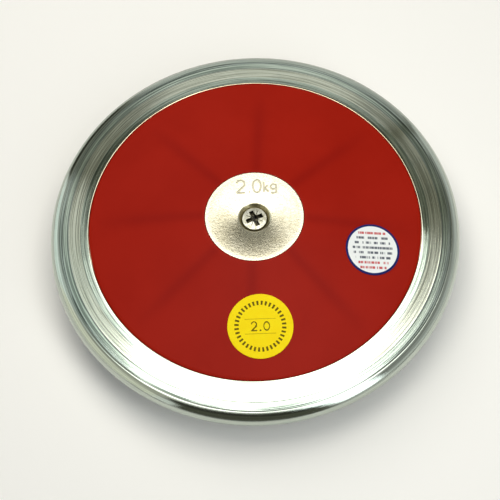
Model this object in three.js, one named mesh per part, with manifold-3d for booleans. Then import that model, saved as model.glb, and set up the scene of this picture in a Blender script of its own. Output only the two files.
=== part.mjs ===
// A throwing discus of 2 kg: a turned steel rim, two moulded side plates that nest in it,
// and a dished metal plate at each centre, drawn together by two screws in one coupling nut.
// Millimetres, +Z up. The discus lies on its rear centre plate, with its front face up.
// Sections are drawn as [radius, height], with the height counted from the middle plane.
import * as THREE from "three";
import { mergeVertices } from "three/addons/utils/BufferGeometryUtils.js";
import Module from "manifold-3d";

const wasm = await Module();
wasm.setup();

// Whole discus
const OUTER_DIAMETER = 220;
const THICKNESS = 45;
const EDGE_ROUND_RADIUS = 6.25;

// Clearances between pieces
const NEST_GAP = 0.25;
const SEAT_GAP = 0.25;

// Rim
const RIM_FACE_WIDTH = 20.9;
const RIM_LAND_WIDTH = 4.1;
const RIM_LAND_ANGLE = THREE.MathUtils.degToRad(8.5);
const RIM_CHAMFER = 0.45;
const TONGUE_THICKNESS = 6;
const TONGUE_REACH = 8.5;

// Side plates
const SHELL_WALL = 3.2;
const SIDE_EDGE_BEVEL = 0.3;
const SKIRT_WIDTH = 4.4;
const CREST_WIDTH = 0.35;
const HUB_WALL = 2.75;
const HUB_WEB = 3;
const RIB_COUNT = 8;
const RIB_THICKNESS = 2.2;
const RIB_LIFT = 0.5;
const RIB_PHASE = THREE.MathUtils.degToRad(-4);

// Centre plates
const CENTRE_DIAMETER = 52.4;
const CENTRE_FLANGE = 3.5;
const CENTRE_EDGE_BEVEL = 0.35;
const CENTRE_RING_WIDTH = 2.5;
const DISH_DEPTH = 2.1;
const DISH_START_SHARE = 0.4;
const SINK_LEAD_IN_WIDTH = 1.6;
const SINK_LEAD_IN_ANGLE = THREE.MathUtils.degToRad(45);
const SINK_LAND = 1.3;
const CENTRE_BOSS_DIAMETER = 22;

// Screws, with a countersunk head of 90 degrees
const SCREW_DIAMETER = 8;
const SCREW_HOLE_GAP = 0.4;
const HEAD_DIAMETER = 13.15;
const HEAD_EDGE = 0.8;
const HEAD_CROWN = 0.55;
const SCREW_TIP_SPACING = 4;
const SCREW_TIP_BEVEL = 0.8;
const RECESS_SPAN = 9.8;
const RECESS_WING = 2.5;
const RECESS_DEPTH = 2.6;
const RECESS_TURN = THREE.MathUtils.degToRad(22);

// Coupling nut and trim washers
const NUT_ACROSS_FLATS = 13;
const NUT_THREAD_GAP = 0.25;
const SOCKET_HEADROOM = 1.2;
const WASHER_COUNT = 3;
const WASHER_THICKNESS = 1;
const WASHER_BORE_GAP = 0.5;

// Labels on the front side plate
const LABEL_THICKNESS = 0.2;
const LABEL_GAP = 0.15;
const YELLOW_LABEL_DIAMETER = 34.5;
const YELLOW_LABEL_PLACE_SHARE = 0.685;
const YELLOW_LABEL_ANGLE = THREE.MathUtils.degToRad(-89.1);
const WHITE_LABEL_DIAMETER = 29.2;
const WHITE_LABEL_PLACE_SHARE = 0.7264;
const WHITE_LABEL_ANGLE = THREE.MathUtils.degToRad(-16.6);

// Faceting
const BODY_SEGMENTS = 72;
const CENTRE_SEGMENTS = 48;
const SMALL_SEGMENTS = 32;
const EDGE_STEPS = 12;
const DISH_STEPS = 6;
const CROWN_STEPS = 3;

// How far a cutting shape runs past the face that it enters
const OVERRUN = 1;

// Radii, and heights of the parting faces
const outerRadius = OUTER_DIAMETER / 2;
const halfThickness = THICKNESS / 2;
const rimBoreRadius = outerRadius - RIM_FACE_WIDTH;
const tongueHalf = TONGUE_THICKNESS / 2;
const sideRadius = rimBoreRadius - NEST_GAP;
const centreRadius = CENTRE_DIAMETER / 2;
const recessRadius = centreRadius + NEST_GAP;
const crestRadius = recessRadius + CREST_WIDTH;
const centreSeat = halfThickness - CENTRE_FLANGE;
const bossRadius = CENTRE_BOSS_DIAMETER / 2;
const pocketRadius = bossRadius + NEST_GAP;
const hubRadius = pocketRadius + HUB_WALL;
const hubFoot = (WASHER_COUNT * WASHER_THICKNESS) / 2;
const headRadius = HEAD_DIAMETER / 2;
const screwRadius = SCREW_DIAMETER / 2;
const screwHoleRadius = screwRadius + SCREW_HOLE_GAP;

// The countersink in the centre plate: a lead-in down from the dish, then the head's seat of 90
// degrees, so that the head lies below the mouth
const sinkRadius = headRadius + SEAT_GAP;
const mouthRadius = sinkRadius + SINK_LEAD_IN_WIDTH;
const mouthHeight = halfThickness - DISH_DEPTH;
const sinkHeight = mouthHeight - SINK_LEAD_IN_WIDTH * Math.tan(SINK_LEAD_IN_ANGLE);
const sinkFoot = sinkHeight - (sinkRadius - screwHoleRadius);

// The stack under it: the plate's boss, the pocket and web of the side plate, and the nut
const bossFoot = sinkFoot - SINK_LAND;
const pocketFloor = bossFoot - SEAT_GAP;
const socketTop = pocketFloor - HUB_WEB;
const nutHalf = socketTop - SOCKET_HEADROOM;
const nutCorner = cornerRadius(NUT_ACROSS_FLATS);

// The rim's face is the tangent from the crest of the side plate to the round edge.
const edgeCentre = outerRadius - EDGE_ROUND_RADIUS;
const crestToEdge = Math.hypot(edgeCentre - crestRadius, halfThickness);
const rimAngle =
  Math.atan2(halfThickness, edgeCentre - crestRadius) - Math.asin(EDGE_ROUND_RADIUS / crestToEdge);
const rimTangent = [
  edgeCentre + EDGE_ROUND_RADIUS * Math.sin(rimAngle),
  EDGE_ROUND_RADIUS * Math.cos(rimAngle),
];
const rimFace = slopeBetween(rimTangent, [crestRadius, halfThickness]);

// Its inner band, the land, lies a little flatter, and ends at a chamfer beside the side plate.
const landRadius = rimBoreRadius + RIM_LAND_WIDTH;
const landEnd = rimBoreRadius + RIM_CHAMFER;
const landHeight = (radius) =>
  rimFace.height(landRadius) + (landRadius - radius) * Math.tan(RIM_LAND_ANGLE);

// The side plate's outer face runs straight from that land to its own crest.
const sideFace = slopeBetween([sideRadius, landHeight(sideRadius)], [crestRadius, halfThickness]);
const skirtRadius = sideRadius - SKIRT_WIDTH;
const ribFoot = tongueHalf + RIB_LIFT;
const recessUnderside = centreSeat - SHELL_WALL;
const recessOutside = recessRadius + SHELL_WALL;

// A straight slope in the section that falls from inner to outer. height gives its height at
// a radius, on the slope itself or at a depth square to it.
function slopeBetween(outer, inner) {
  const fall = (inner[1] - outer[1]) / (outer[0] - inner[0]);
  const angle = Math.atan(fall);
  const height = (radius, depth = 0) =>
    outer[1] + (outer[0] - radius) * fall - depth / Math.cos(angle);
  return { angle, height };
}

function cornerRadius(acrossFlats) {
  return acrossFlats / 2 / Math.cos(Math.PI / 6);
}

// Closed geometry and solids

function solidFrom(geometry) {
  const bare = geometry.index ? geometry.toNonIndexed() : geometry.clone();
  bare.deleteAttribute("normal");
  bare.deleteAttribute("uv");
  const merged = mergeVertices(bare);
  const mesh = new wasm.Mesh({
    numProp: 3,
    vertProperties: new Float32Array(merged.attributes.position.array),
    triVerts: new Uint32Array(merged.index.array),
  });
  return new wasm.Manifold(mesh);
}

function geometryFrom(solid) {
  const mesh = solid.getMesh();
  const geometry = new THREE.BufferGeometry();
  geometry.setAttribute("position", new THREE.BufferAttribute(mesh.vertProperties, mesh.numProp));
  geometry.setIndex(new THREE.BufferAttribute(mesh.triVerts, 1));
  geometry.computeVertexNormals();
  return geometry;
}

// A section turned about Z. It runs anticlockwise, and closes on itself or on the axis.
function turned(section, segments) {
  const points = section.map(([radius, height]) => new THREE.Vector2(radius, height));
  const closesOnAxis = section[0][0] === 0;
  if (!closesOnAxis) points.push(points[0].clone());
  return new THREE.LatheGeometry(points, segments).rotateX(Math.PI / 2);
}

function outline(points) {
  return new THREE.Shape(points.map(([x, y]) => new THREE.Vector2(x, y)));
}

function prism(shape, from, to) {
  const geometry = new THREE.ExtrudeGeometry(shape, { depth: to - from, bevelEnabled: false });
  return geometry.translate(0, 0, from);
}

function hexagon(acrossFlats) {
  const radius = cornerRadius(acrossFlats);
  const corners = [0, 1, 2, 3, 4, 5].map((corner) => {
    const angle = (corner * Math.PI) / 3;
    return [radius * Math.cos(angle), radius * Math.sin(angle)];
  });
  return outline(corners);
}

// Rim: a turned ring with a round edge, and a tongue that both side plates clamp

function rimGeometry() {
  const sweep = Math.PI / 2 - rimAngle;
  const roundEdge = [];
  for (let step = 0; step <= EDGE_STEPS; step += 1) {
    const angle = sweep * ((2 * step) / EDGE_STEPS - 1);
    const radius = edgeCentre + EDGE_ROUND_RADIUS * Math.cos(angle);
    roundEdge.push([radius, EDGE_ROUND_RADIUS * Math.sin(angle)]);
  }
  const frontFace = [
    [landRadius, rimFace.height(landRadius)],
    [landEnd, landHeight(landEnd)],
    [rimBoreRadius, landHeight(landEnd) - RIM_CHAMFER],
    [rimBoreRadius, tongueHalf],
    [rimBoreRadius - TONGUE_REACH, tongueHalf],
  ];
  const rearFace = frontFace.map(([radius, height]) => [radius, -height]).reverse();
  return turned([...roundEdge, ...frontFace, ...rearFace], BODY_SEGMENTS);
}

// Side plate: a moulded cone with a skirt that seats on the rim's tongue, a recess for the
// centre plate, a hub with a hexagon socket for the coupling nut, and radial ribs inside

function sideShell() {
  const bevelRadius = sideRadius - SIDE_EDGE_BEVEL;
  const section = [
    [sideRadius, tongueHalf],
    [sideRadius, sideFace.height(sideRadius) - SIDE_EDGE_BEVEL],
    [bevelRadius, sideFace.height(bevelRadius)],
    [crestRadius, halfThickness],
    [recessRadius, halfThickness],
    [recessRadius, centreSeat],
    [pocketRadius, centreSeat],
    [pocketRadius, pocketFloor],
    [screwHoleRadius, pocketFloor],
    [screwHoleRadius, hubFoot],
    [hubRadius, hubFoot],
    [hubRadius, recessUnderside],
    [recessOutside, recessUnderside],
    [recessOutside, sideFace.height(recessOutside, SHELL_WALL)],
    [skirtRadius, sideFace.height(skirtRadius, SHELL_WALL)],
    [skirtRadius, tongueHalf],
  ];
  return solidFrom(turned(section, BODY_SEGMENTS));
}

function rib(angle) {
  const midWall = SHELL_WALL / 2;
  const skirtMiddle = skirtRadius + SKIRT_WIDTH / 2;
  const recessMiddle = recessRadius + midWall;
  const hubMiddle = hubRadius - HUB_WALL / 2;
  const profile = outline([
    [hubMiddle, ribFoot],
    [skirtMiddle, ribFoot],
    [skirtMiddle, sideFace.height(skirtMiddle, midWall)],
    [recessMiddle, sideFace.height(recessMiddle, midWall)],
    [recessMiddle, recessUnderside + midWall],
    [hubMiddle, recessUnderside + midWall],
  ]);
  const blade = prism(profile, -RIB_THICKNESS / 2, RIB_THICKNESS / 2);
  return solidFrom(blade.rotateX(Math.PI / 2).rotateZ(angle));
}

function sidePlateGeometry() {
  let plate = sideShell();
  for (let index = 0; index < RIB_COUNT; index += 1) {
    plate = plate.add(rib(RIB_PHASE + (index * 2 * Math.PI) / RIB_COUNT));
  }
  const socket = prism(hexagon(NUT_ACROSS_FLATS + 2 * NEST_GAP), hubFoot - OVERRUN, socketTop);
  return geometryFrom(plate.subtract(solidFrom(socket)));
}

// Centre plate: a disc with a flat ring at its edge, dished towards a countersunk hole, and
// with a boss behind the hole

function centrePlateGeometry() {
  const dishRadius = centreRadius - CENTRE_RING_WIDTH;
  const dish = [];
  for (let step = 0; step <= DISH_STEPS; step += 1) {
    const share = step / DISH_STEPS;
    const fallShare = DISH_START_SHARE * share + (1 - DISH_START_SHARE) * share * share;
    const radius = dishRadius - (dishRadius - mouthRadius) * share;
    dish.push([radius, halfThickness - DISH_DEPTH * fallShare]);
  }
  const section = [
    [centreRadius, centreSeat],
    [centreRadius, halfThickness - CENTRE_EDGE_BEVEL],
    [centreRadius - CENTRE_EDGE_BEVEL, halfThickness],
    ...dish,
    [sinkRadius, sinkHeight],
    [screwHoleRadius, sinkFoot],
    [screwHoleRadius, bossFoot],
    [bossRadius, bossFoot],
    [bossRadius, centreSeat],
  ];
  return turned(section, CENTRE_SEGMENTS);
}

// Screw: a raised countersunk head with a cross recess, and a shank that enters the nut

function screwGeometry() {
  const coneTop = sinkHeight - (sinkRadius - headRadius) + SEAT_GAP * Math.SQRT2;
  const coneFoot = coneTop - (headRadius - screwRadius);
  const edgeTop = coneTop + HEAD_EDGE;
  const crownTop = edgeTop + HEAD_CROWN;
  const tip = SCREW_TIP_SPACING / 2;
  const crown = [];
  for (let step = 0; step < CROWN_STEPS; step += 1) {
    const share = step / CROWN_STEPS;
    crown.push([headRadius * (1 - share), crownTop - HEAD_CROWN * (1 - share) ** 2]);
  }
  const section = [
    [0, tip],
    [screwRadius - SCREW_TIP_BEVEL, tip],
    [screwRadius, tip + SCREW_TIP_BEVEL],
    [screwRadius, coneFoot],
    [headRadius, coneTop],
    ...crown,
    [0, crownTop],
  ];
  const recess = prism(crossOutline(), crownTop - RECESS_DEPTH, crownTop + OVERRUN);
  const body = solidFrom(turned(section, SMALL_SEGMENTS));
  return geometryFrom(body.subtract(solidFrom(recess.rotateZ(RECESS_TURN))));
}

function crossOutline() {
  const wing = RECESS_WING / 2;
  const reach = RECESS_SPAN / 2;
  const corners = [];
  for (const [cos, sin] of [[1, 0], [0, 1], [-1, 0], [0, -1]]) {
    for (const [along, across] of [[reach, -wing], [reach, wing], [wing, wing]]) {
      corners.push([along * cos - across * sin, along * sin + across * cos]);
    }
  }
  return outline(corners);
}

// Coupling nut: a long hexagon nut that lies in both hubs' sockets

function couplingNutGeometry() {
  const shape = hexagon(NUT_ACROSS_FLATS);
  const boreRadius = screwRadius + NUT_THREAD_GAP;
  shape.holes.push(new THREE.Path().absarc(0, 0, boreRadius, 0, 2 * Math.PI, true));
  return prism(shape, -nutHalf, nutHalf);
}

// Trim washers: thin steel rings between the hubs that bring the discus to its exact weight

function trimWasherGeometry() {
  const boreRadius = nutCorner + WASHER_BORE_GAP;
  const section = [
    [hubRadius, 0],
    [hubRadius, WASHER_THICKNESS],
    [boreRadius, WASHER_THICKNESS],
    [boreRadius, 0],
  ];
  return turned(section, SMALL_SEGMENTS);
}

// Labels: thin round stickers that follow the cone of the front side plate

function labelGeometry(diameter, placeShare, angle) {
  const top = LABEL_GAP + LABEL_THICKNESS;
  const place = sideRadius * placeShare;
  const reach = diameter / 2;
  const sheet = [
    [place + reach, sideFace.height(place + reach, -LABEL_GAP)],
    [place + reach, sideFace.height(place + reach, -top)],
    [place - reach, sideFace.height(place - reach, -top)],
    [place - reach, sideFace.height(place - reach, -LABEL_GAP)],
  ];
  const cutter = new THREE.CylinderGeometry(reach, reach, 2 * reach, CENTRE_SEGMENTS)
    .rotateX(Math.PI / 2)
    .rotateY(sideFace.angle)
    .translate(place, 0, sideFace.height(place))
    .rotateZ(angle);
  return geometryFrom(solidFrom(turned(sheet, BODY_SEGMENTS)).intersect(solidFrom(cutter)));
}

// Materials

function finish(color, roughness, metalness) {
  return new THREE.MeshStandardMaterial({ color, roughness, metalness });
}

const zincPlate = () => finish(0xa9b0ad, 0.32, 1);
const redPlastic = () => finish(0x9c1c14, 0.38, 0);
const nickelPlate = () => finish(0xcfc9b4, 0.4, 1);
const screwZinc = () => finish(0xd2d0c4, 0.35, 1);
const plainSteel = () => finish(0x8d8f8f, 0.45, 1);
const yellowVinyl = () => finish(0xf2df1a, 0.45, 0);
const whiteVinyl = () => finish(0xefefe8, 0.45, 0);

// Assembly: the rear half is the front half turned over about X

const discus = new THREE.Group();
const frontHalf = new THREE.Group();
const rearHalf = new THREE.Group();
rearHalf.rotation.x = Math.PI;
discus.add(frontHalf, rearHalf);
discus.position.z = halfThickness;

function place(parent, name, geometry, material) {
  const mesh = new THREE.Mesh(geometry, material);
  mesh.name = name;
  parent.add(mesh);
  return mesh;
}

place(discus, "rim", rimGeometry(), zincPlate());
for (const [side, half] of [["front", frontHalf], ["rear", rearHalf]]) {
  place(half, `${side}_side_plate`, sidePlateGeometry(), redPlastic());
  place(half, `${side}_centre_plate`, centrePlateGeometry(), nickelPlate());
  place(half, `${side}_screw`, screwGeometry(), screwZinc());
}

place(discus, "coupling_nut", couplingNutGeometry(), plainSteel());
for (let index = 0; index < WASHER_COUNT; index += 1) {
  const washer = place(discus, `trim_washer_${index + 1}`, trimWasherGeometry(), plainSteel());
  washer.position.z = index * WASHER_THICKNESS - hubFoot;
}

const yellowLabel = labelGeometry(
  YELLOW_LABEL_DIAMETER, YELLOW_LABEL_PLACE_SHARE, YELLOW_LABEL_ANGLE,
);
const whiteLabel = labelGeometry(WHITE_LABEL_DIAMETER, WHITE_LABEL_PLACE_SHARE, WHITE_LABEL_ANGLE);
place(frontHalf, "yellow_label", yellowLabel, yellowVinyl());
place(frontHalf, "white_label", whiteLabel, whiteVinyl());

export default discus;
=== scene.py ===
import math
import random

import bpy
import numpy as np
from mathutils import Matrix, Quaternion, Vector

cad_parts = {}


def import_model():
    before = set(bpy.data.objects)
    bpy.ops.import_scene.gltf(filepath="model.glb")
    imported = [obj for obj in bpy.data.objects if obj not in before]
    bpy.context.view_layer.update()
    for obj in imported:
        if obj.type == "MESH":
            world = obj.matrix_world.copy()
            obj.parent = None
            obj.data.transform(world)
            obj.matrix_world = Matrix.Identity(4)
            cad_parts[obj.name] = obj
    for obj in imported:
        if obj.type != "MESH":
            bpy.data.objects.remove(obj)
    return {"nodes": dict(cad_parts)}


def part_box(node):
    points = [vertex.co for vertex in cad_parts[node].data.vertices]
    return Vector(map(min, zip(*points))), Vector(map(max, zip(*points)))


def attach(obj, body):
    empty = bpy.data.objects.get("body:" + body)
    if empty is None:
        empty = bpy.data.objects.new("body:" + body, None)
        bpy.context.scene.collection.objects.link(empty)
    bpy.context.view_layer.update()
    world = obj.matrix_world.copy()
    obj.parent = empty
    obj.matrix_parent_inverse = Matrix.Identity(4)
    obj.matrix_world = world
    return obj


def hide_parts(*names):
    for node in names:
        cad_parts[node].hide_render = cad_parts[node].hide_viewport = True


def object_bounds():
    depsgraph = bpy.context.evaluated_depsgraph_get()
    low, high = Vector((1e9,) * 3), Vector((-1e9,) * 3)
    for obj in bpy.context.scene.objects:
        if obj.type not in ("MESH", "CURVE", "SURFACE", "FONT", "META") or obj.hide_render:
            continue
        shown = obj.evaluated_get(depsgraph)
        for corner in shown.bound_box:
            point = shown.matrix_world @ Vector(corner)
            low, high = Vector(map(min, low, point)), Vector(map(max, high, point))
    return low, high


# The looks of a throwing discus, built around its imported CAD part.
# The pieces are drawn in millimetres, with heights from the discus's mid-plane, and turned into
# Blender's metres when their meshes are made. The camera, lamps and floor are in metres.

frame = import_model()
cad_low, cad_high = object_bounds()

MM = 0.001
MIDDLE = (cad_low.z + cad_high.z) / 2
FULL_TURN = 2 * math.pi
SMOOTH_ANGLE = math.radians(30)
NEAR = 0.001


def reach(node):
    """How far a CAD node reaches from the axis, in millimetres."""
    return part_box(node)[1].x / MM


def top(node):
    """A CAD node's highest point over the mid-plane, in millimetres."""
    return (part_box(node)[1].z - MIDDLE) / MM


def foot(node):
    """A CAD node's lowest point over the mid-plane, in millimetres."""
    return (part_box(node)[0].z - MIDDLE) / MM


# Sizes that the frame gives
OUTER = reach("rim")
SIDE = reach("front_side_plate")
CENTRE = reach("front_centre_plate")
HEAD = reach("front_screw")
HALF = top("front_side_plate")
CROWN_TOP = top("front_screw")
SCREW_TIP = foot("front_screw")
BOSS_FOOT = foot("front_centre_plate")
HUB_FOOT = foot("front_side_plate")

# Rim
NEST_GAP = 0.25
EDGE_ROUND = 6.25
EDGE_STEPS = 40
RIM_LAND_WIDTH = 4.1
RIM_LAND_ANGLE = math.radians(8.5)
RIM_FILLET = 0.35
FILLET_STEPS = 6
TONGUE_HALF = 3
TONGUE_REACH = 8.5
CREST_WIDTH = 0.35
RIM_SEGMENTS = 360
RIM_SEED = 7
FINE_PITCH, FINE_DEPTH = 0.5, 0.008
COARSE_PITCH, COARSE_DEPTH = 0.5, 0.017
COARSE_FROM = 99.9
RIDGE_WIDTH, RIDGE_HEIGHT = 0.36, 0.03
EDGE_LINE_WIDTH, EDGE_LINE_DEPTH = 0.45, 0.09

# Side plates
SIDE_SEGMENTS = 288
SIDE_ROWS = 36
SIDE_EDGE_BEVEL = 0.3
SHELL_WALL = 3.2
SKIRT_WIDTH = 4.4
CENTRE_FLANGE = 3.5
HUB_WALL = 2.75
HUB_WEB = 3
SOCKET_OVERRUN = 1
RIB_COUNT = 8
RIB_THICKNESS = 2.2
RIB_LIFT = 0.5
RIB_PHASE = math.radians(-4)
SINK_DEPTH = 0.05
SINK_HALF_WIDTH = 2.7
SINK_SPREAD = 0.02
SINK_FROM, SINK_TO = 26, 86
SINK_FADE_IN, SINK_FADE_OUT = 2, 26

# Centre plates
CENTRE_SEGMENTS = 240
CENTRE_RING_WIDTH = 2.5
SHINE_START, SHINE_END = 0.2, 1.6
CENTRE_EDGE_BEVEL = 0.12
DISH_DEPTH = 1.6
RING_FALL = 0.05
RING_SUPPORT = 0.05
DISH_START_SHARE = 0.5
DISH_ROWS = 40
SEAT_GAP = 0.25
LEAD_IN_WIDTH = 1.6
SINK_DROP = 3.7
MOUTH_SOFTENING = 0.5
MOUTH_ROW_GAP = 0.05
MOUTH_INSET = 0.2
BOSS_RADIUS = 11
SCREW_RADIUS = 4
SCREW_HOLE_GAP = 0.4

# The engraved weight on the front centre plate, in millimetres from the plate's middle
MARK_STROKE = 1.45
MARK_FLOOR_SHARE = 0.55
MARK_DEPTH = 0.12
MARK_OVERRUN = 0.2
MARK_MARGIN = 1
MIN_MARK = 0.03
LINE_BASE = 14.5
DIGIT_HEIGHT = 7.3
LETTER_HEIGHT = 4.6
TWO_LEFT, TWO_RIGHT = -8.9, -4.6
POINT_LEFT, POINT_WIDTH, POINT_LIFT = -2.4, 0.5, 0.35
ZERO_MIDDLE, ZERO_HALF = 1.9, 2.15
K_LEFT, K_ARM, K_LEG = 5.6, 2.2, 2.5
K_LEG_START = 0.6, 0.4
K_STEM_SHARE, K_JOINT_SHARE, K_ARM_SHARE = 1.25, 0.4, 0.85
G_MIDDLE, G_RADIUS, G_HEIGHT_SHARE = 10.7, 1.45, 0.62
G_STEM_RISE, G_TAIL_LIFT, G_TAIL_DROP = 1.2, 0.1, 0.9

# Screws
SCREW_SEGMENTS = 96
HEAD_EDGE = 0.8
HEAD_SOFTENING = 0.3
HEAD_CROWN = 0.55
CROWN_ROWS = 10
THREAD_PITCH = 1.25
THREAD_DEPTH = 0.6
THREAD_ROWS_PER_TURN = 8
TIP_BEVEL = 0.8
RECESS_SPAN = 9.8
RECESS_SPAN_DRAFT, RECESS_SPAN_FLARE = 1.3, 0.15
RECESS_WING = 2.5
RECESS_WING_DRAFT, RECESS_WING_FLARE = 0.35, 0.06
RECESS_DEPTH = 2.6
RECESS_OVERRUN = 0.4
RECESS_MARGIN = 1
RECESS_REACH = 5.6
RECESS_TURN = math.radians(22)
SQUARE_HALVES = 1, 2.1
TICK_START = 1.5
TICK_REACHES = 4.2, 5.4
TICK_HALVES = 0.05, 0.3
TICK_DEPTH = 0.75

# Labels
LABEL_SEGMENTS = 128
LABEL_ROWS = 16
LABEL_LIFT = 0.05
LABEL_TOP = 0.35
LABEL_SOFTENING = 0.05
YELLOW_RADIUS = 17.25
WHITE_RADIUS = 14.6

# Camera, floor and lamps, in metres
CAMERA_DISTANCE = 1.2419
CAMERA_ELEVATION = math.radians(63.26)
CAMERA_ROLL = math.radians(2.17)
CAMERA_YAW = math.radians(-0.14)
CAMERA_PITCH = math.radians(-0.361)
CAMERA_LENS = 166.08
FLOOR_RADIUS = 6
FLOOR_SEGMENTS = 64
FLOOR_FADE = 0.45, 1.3
BOX_TURN = math.radians(-12)
FLOOR_GLOW = 0.13


# Meshes


def to_row(points):
    """Drawing points in millimetres as row-frame points in metres."""
    return np.asarray(points, float) * MM + np.array([0, 0, MIDDLE])


def placed(name, data):
    """A mesh, a lamp or a camera as a new object in the scene."""
    holder = bpy.data.objects.new(name, data)
    bpy.context.scene.collection.objects.link(holder)
    return holder


def piece_from(name, points, faces):
    mesh = bpy.data.meshes.new(name)
    mesh.from_pydata(to_row(points).tolist(), [], faces)
    piece = placed(name, mesh)
    shade(piece)
    return piece


def shade(piece):
    """Smooth shading, with an edge kept sharp where faces turn by more than the angle."""
    piece.data.shade_smooth()
    piece.data.set_sharp_from_angle(angle=SMOOTH_ANGLE)


def turned_points(outline, segments, shape=None):
    """Points and faces of a section turned about the axis. The section is a list of (radius,
    height) that runs anticlockwise and closes on itself, or on the axis at both its ends.
    shape(radius, angle, height) gives each point's final radius and height."""
    radius, height = (np.array(column, float)[:, None] for column in zip(*outline))
    angle = np.arange(segments)[None, :] * FULL_TURN / segments
    radius, height, angle = np.broadcast_arrays(radius, height, angle)
    on_axis = radius[:, 0] < NEAR
    if shape:
        radius, height = shape(radius, angle, height)
    points, index = [], []
    for row in range(len(outline)):
        if on_axis[row]:
            index.append([len(points)] * segments)
            points.append((0, 0, height[row, 0]))
            continue
        index.append(list(range(len(points), len(points) + segments)))
        x = radius[row] * np.cos(angle[row])
        y = radius[row] * np.sin(angle[row])
        points += list(zip(x, y, height[row]))
    faces = []
    last = len(outline) if not on_axis[0] else len(outline) - 1
    for row in range(last):
        low, high = index[row], index[(row + 1) % len(outline)]
        for step in range(segments):
            after = (step + 1) % segments
            corners = [low[step], low[after], high[after], high[step]]
            faces.append(list(dict.fromkeys(corners)))
    return points, faces


def turned(name, outline, segments, shape=None):
    points, faces = turned_points(outline, segments, shape)
    return piece_from(name, points, faces)


def other_side(piece, name):
    """A copy of a front piece, turned over onto the rear side of the discus."""
    copy = placed(name, piece.data.copy())
    middle = Matrix.Translation((0, 0, MIDDLE))
    copy.data.transform(middle @ Matrix.Rotation(math.pi, 4, "X") @ middle.inverted())
    return copy


def combine(piece, tool, operation):
    """Cuts the tool from the piece, or joins it to the piece, and removes the tool."""
    modifier = piece.modifiers.new("combine", "BOOLEAN")
    modifier.operation = operation
    modifier.solver = "MANIFOLD"
    modifier.object = tool
    graph = bpy.context.evaluated_depsgraph_get()
    mesh = bpy.data.meshes.new_from_object(piece.evaluated_get(graph))
    piece.modifiers.clear()
    piece.data = mesh
    mesh.name = piece.name
    bpy.data.objects.remove(tool)
    shade(piece)


def lofted(name, sections, closed=False):
    """A solid through sections of as many corners each, closed on itself or capped at both its
    ends. A section runs anticlockwise as seen from the solid's end."""
    count = len(sections[0])
    points = [point for section in sections for point in section]
    faces = []
    for index in range(len(sections) if closed else len(sections) - 1):
        here, after = count * index, count * ((index + 1) % len(sections))
        for corner in range(count):
            beside = (corner + 1) % count
            faces.append([here + corner, here + beside, after + beside, after + corner])
    if not closed:
        faces.append(list(reversed(range(count))))
        faces.append(list(range(len(points) - count, len(points))))
    return piece_from(name, points, faces)


def directions(angle):
    """Steps of a millimetre along a bearing, to its left and up."""
    across, out = math.sin(angle), math.cos(angle)
    return np.array([out, across, 0]), np.array([-across, out, 0]), np.array([0, 0, 1])


def tapered_bar(name, angle, reaches, halves, heights, start=None):
    """A bar along a bearing, from start (or as far behind the axis) to its reach, with a reach,
    a half width and a height at its floor and at its top."""
    along, across, up = directions(angle)
    sections = []
    for reach_out, half, height in zip(reaches, halves, heights):
        behind = -reach_out if start is None else start
        corners = (behind, -half), (reach_out, -half), (reach_out, half), (behind, half)
        sections.append([along * out + across * left + up * height for out, left in corners])
    return lofted(name, sections)


def spread(start, end, steps):
    """Even steps from start to end, with both."""
    return [start + (end - start) * step / steps for step in range(steps + 1)]


def arc(centre, radii, start, end, steps):
    """Points of an elliptical arc, from start to end in degrees."""
    points = []
    for angle in spread(math.radians(start), math.radians(end), steps):
        across, up = radii[0] * math.cos(angle), radii[1] * math.sin(angle)
        points.append((centre[0] + across, centre[1] + up))
    return points


def straight(start, end, steps=6):
    start, end = Vector(start), Vector(end)
    return [tuple(start.lerp(end, share)) for share in spread(0, 1, steps)]


def softened(before, corner, after, reach_out, steps=5):
    """Points of a smooth curve that replaces a corner, from reach_out before it to after it."""
    before, corner, after = Vector(before), Vector(corner), Vector(after)
    start = corner + (before - corner).normalized() * reach_out
    end = corner + (after - corner).normalized() * reach_out
    points = []
    for share in spread(0, 1, steps):
        points.append(tuple(start.lerp(corner, share).lerp(corner.lerp(end, share), share)))
    return points


# The section of the discus: straight slopes between the crest, the rim's land and its round edge

crest_radius = CENTRE + NEST_GAP + CREST_WIDTH
recess_radius = CENTRE + NEST_GAP
bore_radius = SIDE + NEST_GAP
edge_centre = OUTER - EDGE_ROUND
rim_angle = math.atan2(HALF, edge_centre - crest_radius) - math.asin(
    EDGE_ROUND / math.hypot(edge_centre - crest_radius, HALF)
)
tangent_radius = edge_centre + EDGE_ROUND * math.sin(rim_angle)
tangent_height = EDGE_ROUND * math.cos(rim_angle)
land_radius = bore_radius + RIM_LAND_WIDTH


def face_height(radius):
    return tangent_height + (tangent_radius - radius) * math.tan(rim_angle)


def land_height(radius):
    return face_height(land_radius) + (land_radius - radius) * math.tan(RIM_LAND_ANGLE)


side_fall = (HALF - land_height(SIDE)) / (SIDE - crest_radius)
side_angle = math.atan(side_fall)


def side_height(radius, depth=0):
    """The side plate's outer face, or a surface at a depth square to it."""
    return land_height(SIDE) + (SIDE - radius) * side_fall - depth / math.cos(side_angle)


dish_radius = CENTRE - CENTRE_RING_WIDTH
sink_radius = HEAD + SEAT_GAP
mouth_radius = sink_radius + LEAD_IN_WIDTH
sink_height = HALF - SINK_DROP
screw_hole = SCREW_RADIUS + SCREW_HOLE_GAP
centre_seat = HALF - CENTRE_FLANGE
pocket_radius = BOSS_RADIUS + NEST_GAP
pocket_floor = BOSS_FOOT - SEAT_GAP
cone_top = sink_height - SEAT_GAP + SEAT_GAP * math.sqrt(2)
thread_start = SCREW_TIP + TIP_BEVEL
thread_end = cone_top - (HEAD - SCREW_RADIUS)


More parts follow.
